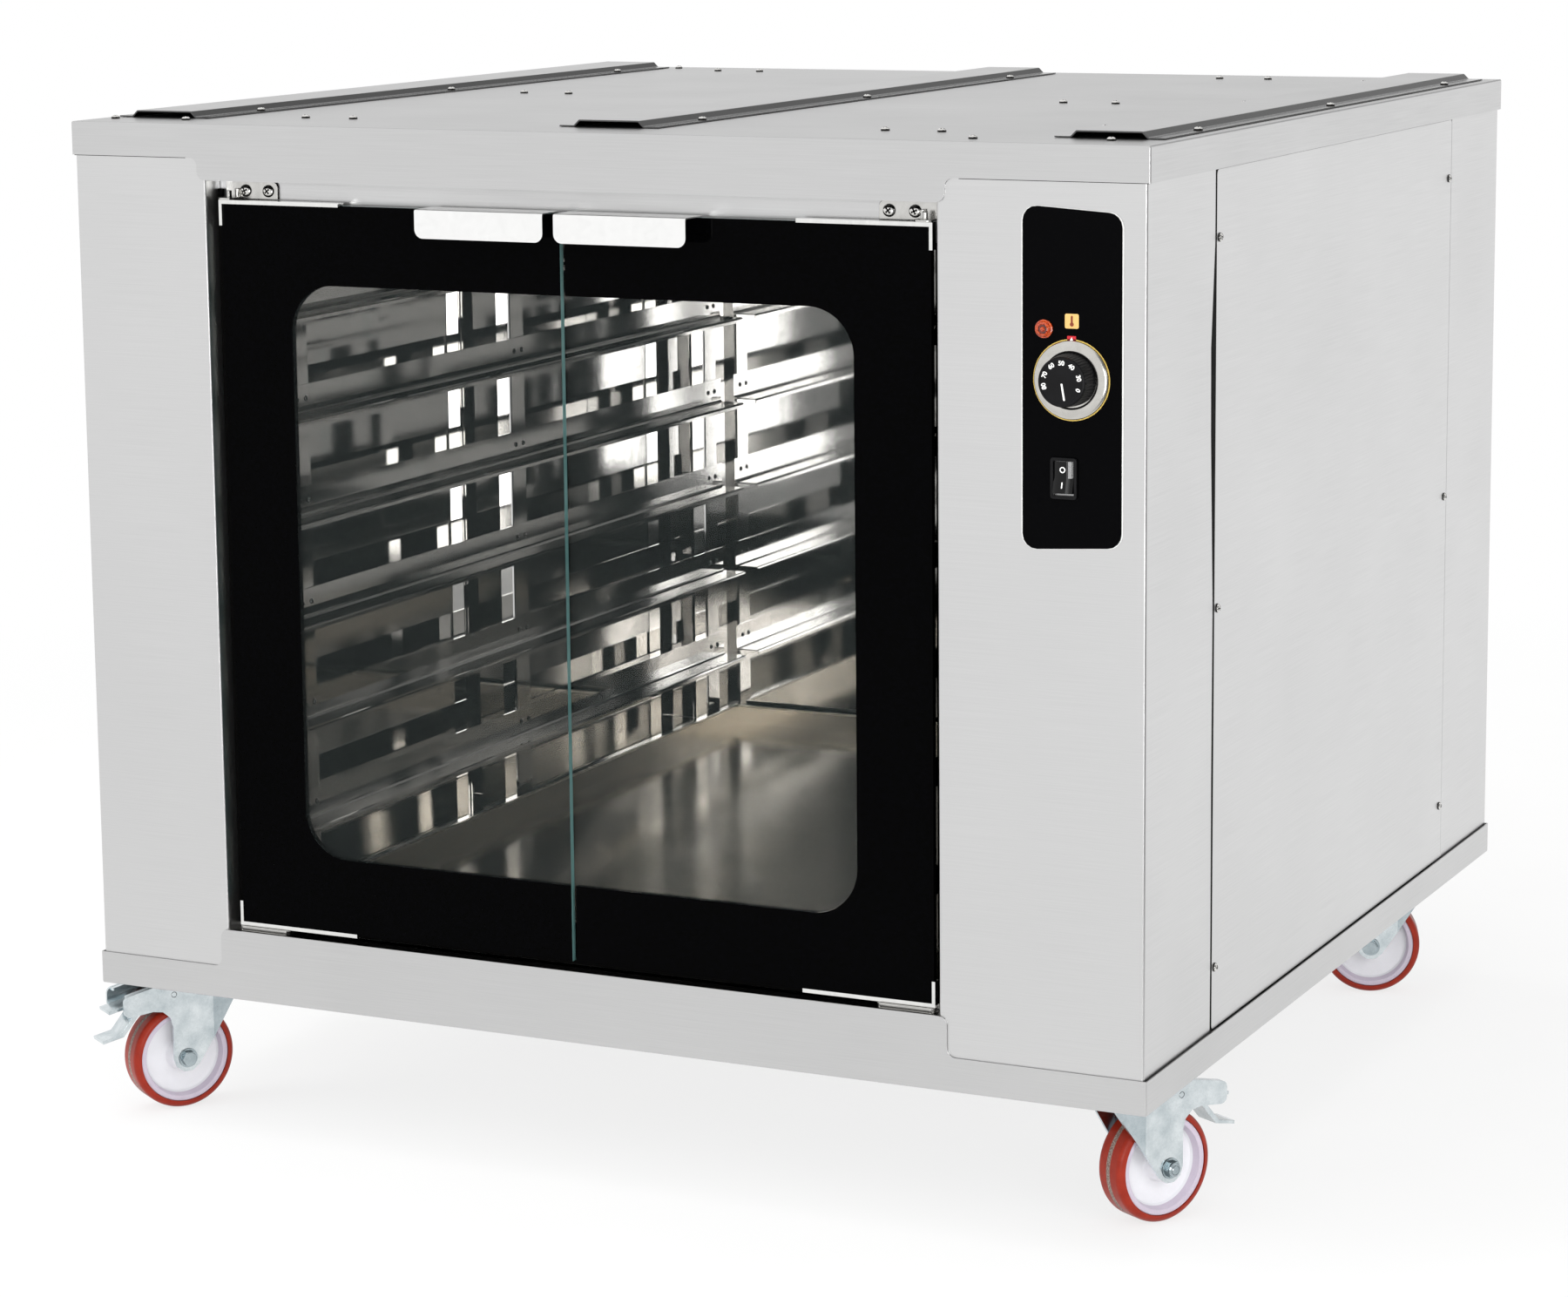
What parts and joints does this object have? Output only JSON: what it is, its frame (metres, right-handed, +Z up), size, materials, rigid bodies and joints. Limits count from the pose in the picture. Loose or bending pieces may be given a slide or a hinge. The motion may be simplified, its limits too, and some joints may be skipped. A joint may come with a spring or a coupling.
{
  "type": "proofing cabinet",
  "caption": "Stainless dough proofing cabinet on swivel casters, with twin glass doors, tray runners inside, a control column and hat rails on top to carry an oven.",
  "frame": {"origin": "on the floor under the middle of the whole, at the foot of the wheels", "axes": "+X to the right seen from the doors, +Y from the doors to the back, +Z up"},
  "size_m": [1.0622, 1.0468, 0.9365],
  "materials": {
    "satin_steel": "fine satin brushed stainless sheet",
    "bright_steel": "bright annealed stainless sheet, close to a mirror",
    "pan_steel": "satin stainless pan with a warm tint",
    "zinc": "blue-white zinc plated pressed steel",
    "chrome": "mirror polished",
    "dark_glass": "toughened glass with a black printed border and a clear window",
    "black_gloss": "gloss black",
    "black_plastic": "fine-grained moulded black",
    "amber": "clear amber lens",
    "nylon": "white moulded polyamide",
    "red_tyre": "red-brown cast polyurethane",
    "sheathed_rod": "heat-darkened sheath"
  },
  "bodies": {
    "cabinet": {"top_cover": "satin_steel", "base_tray": "satin_steel", "left_side_panel": "satin_steel", "control_column": "satin_steel", "right_access_panel": "satin_steel", "rear_panel": "satin_steel", "chamber_left_wall": "bright_steel", "chamber_right_wall": "bright_steel", "chamber_rear_wall": "bright_steel", "chamber_ceiling": "bright_steel", "chamber_floor": "bright_steel", "water_pan": "pan_steel", "heater_element": "sheathed_rod", "left_tray_rack": "bright_steel", "right_tray_rack": "bright_steel", "oven_rail_left": "bright_steel", "oven_rail_middle": "bright_steel", "oven_rail_right": "bright_steel", "control_fascia": "black_gloss", "thermostat_bezel": "chrome", "thermostat_body": "black_plastic", "pilot_lamp": "amber", "switch_housing": "black_plastic", "hinge_bracket_top_left": "chrome", "hinge_bracket_top_right": "chrome", "hinge_bracket_bottom_left": "chrome", "hinge_bracket_bottom_right": "chrome", "caster_plate_front_left": "zinc", "caster_plate_front_right": "zinc", "caster_plate_rear_left": "zinc", "caster_plate_rear_right": "zinc", "cable_gland": "black_plastic"},
    "left_door": {"left_door_glass": "dark_glass", "left_door_handle": "chrome", "left_door_top_shoe": "chrome", "left_door_bottom_shoe": "chrome"},
    "right_door": {"right_door_glass": "dark_glass", "right_door_handle": "chrome", "right_door_top_shoe": "chrome", "right_door_bottom_shoe": "chrome"},
    "knob": {"thermostat_knob": "black_plastic"},
    "switch_rocker": {"rocker": "black_gloss"},
    "swivel_front_left": {"caster_fork_front_left": "zinc", "caster_axle_front_left": "zinc"},
    "swivel_front_right": {"caster_fork_front_right": "zinc", "caster_axle_front_right": "zinc"},
    "swivel_rear_left": {"caster_fork_rear_left": "zinc", "caster_axle_rear_left": "zinc"},
    "swivel_rear_right": {"caster_fork_rear_right": "zinc", "caster_axle_rear_right": "zinc"},
    "wheel_front_left": {"wheel_core_front_left": "nylon", "tyre_front_left": "red_tyre"},
    "wheel_front_right": {"wheel_core_front_right": "nylon", "tyre_front_right": "red_tyre"},
    "wheel_rear_left": {"wheel_core_rear_left": "nylon", "tyre_rear_left": "red_tyre"},
    "wheel_rear_right": {"wheel_core_rear_right": "nylon", "tyre_rear_right": "red_tyre"},
    "pedal_front_left": {"brake_pedal_front_left": "zinc"},
    "pedal_front_right": {"brake_pedal_front_right": "zinc"}
  },
  "joints": [
    {"name": "left_door_hinge", "type": "hinge", "parent": "cabinet", "child": "left_door", "pos_m": [-0.35868, -0.4846, 0.2005], "axis": [0, 0, -1], "range_deg": [0, 110]},
    {"name": "right_door_hinge", "type": "hinge", "parent": "cabinet", "child": "right_door", "pos_m": [0.31733, -0.4846, 0.2005], "axis": [0, 0, 1], "range_deg": [0, 110]},
    {"name": "thermostat_turn", "type": "hinge", "parent": "cabinet", "child": "knob", "pos_m": [0.45262, -0.5024, 0.7403], "axis": [0, 1, 0], "range_deg": [-112, 104]},
    {"name": "switch_tilt", "type": "hinge", "parent": "cabinet", "child": "switch_rocker", "pos_m": [0.44653, -0.4962, 0.659], "axis": [1, 0, 0], "range_deg": [0, 14]},
    {"name": "swivel_front_left_turn", "type": "hinge", "parent": "cabinet", "child": "swivel_front_left", "pos_m": [-0.45667, -0.4056, 0], "axis": [0, 0, 1], "continuous": true},
    {"name": "swivel_front_right_turn", "type": "hinge", "parent": "cabinet", "child": "swivel_front_right", "pos_m": [0.46132, -0.4056, 0], "axis": [0, 0, 1], "continuous": true},
    {"name": "swivel_rear_left_turn", "type": "hinge", "parent": "cabinet", "child": "swivel_rear_left", "pos_m": [-0.45667, 0.4104, 0], "axis": [0, 0, 1], "continuous": true},
    {"name": "swivel_rear_right_turn", "type": "hinge", "parent": "cabinet", "child": "swivel_rear_right", "pos_m": [0.46132, 0.4104, 0], "axis": [0, 0, 1], "continuous": true},
    {"name": "wheel_front_left_spin", "type": "hinge", "parent": "swivel_front_left", "child": "wheel_front_left", "pos_m": [-0.4767, -0.43551, 0.05], "axis": [0.831, -0.5563, 0], "continuous": true},
    {"name": "wheel_front_right_spin", "type": "hinge", "parent": "swivel_front_right", "child": "wheel_front_right", "pos_m": [0.4797, -0.37465, 0.05], "axis": [-0.8599, 0.5105, 0], "continuous": true},
    {"name": "wheel_rear_left_spin", "type": "hinge", "parent": "swivel_rear_left", "child": "wheel_rear_left", "pos_m": [-0.47358, 0.44219, 0.05], "axis": [-0.8829, -0.4695, 0], "continuous": true},
    {"name": "wheel_rear_right_spin", "type": "hinge", "parent": "swivel_rear_right", "child": "wheel_rear_right", "pos_m": [0.42739, 0.39838, 0.05], "axis": [0.3338, -0.9426, 0], "continuous": true},
    {"name": "brake_front_left_press", "type": "hinge", "parent": "swivel_front_left", "child": "pedal_front_left", "pos_m": [-0.48338, -0.44549, 0.1129], "axis": [0.831, -0.5563, 0], "range_deg": [0, 8]},
    {"name": "brake_front_right_press", "type": "hinge", "parent": "swivel_front_right", "child": "pedal_front_right", "pos_m": [0.48583, -0.36433, 0.1129], "axis": [-0.8599, 0.5105, 0], "range_deg": [0, 8]}
  ]
}
